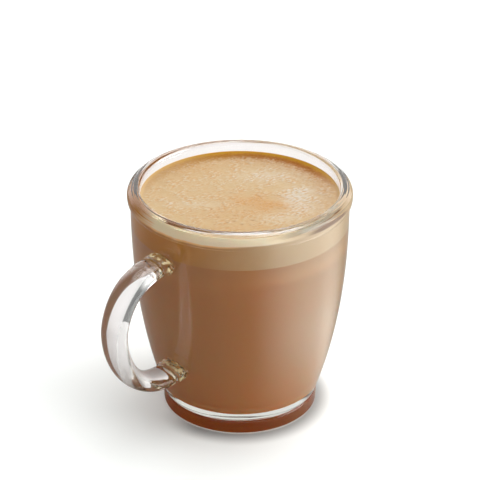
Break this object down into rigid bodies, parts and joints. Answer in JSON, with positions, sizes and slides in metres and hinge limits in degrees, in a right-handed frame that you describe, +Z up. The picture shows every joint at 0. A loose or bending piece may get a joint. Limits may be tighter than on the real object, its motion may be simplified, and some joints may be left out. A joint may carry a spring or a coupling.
{
  "type": "flat white in a glass mug",
  "caption": "Clear glass mug with a rounded rim, an oval side handle and a low foot ring, filled with milk coffee under a layer of tan foam.",
  "frame": {"origin": "centre of the foot's underside, on the mug's axis", "axes": "+Z up along the mug's axis, -X towards the middle of the handle, so that the handle's plane is y = 0"},
  "size_m": [0.1096, 0.0826, 0.0893],
  "materials": {
    "clear_glass": "clear pressed glass, polished",
    "milk_coffee": "opaque milky brown drink",
    "milk_foam": "fine tan foam with a browner ring at the edge"
  },
  "bodies": {
    "root": {"glass_mug": "clear_glass", "coffee": "milk_coffee", "foam": "milk_foam"}
  },
  "joints": []
}
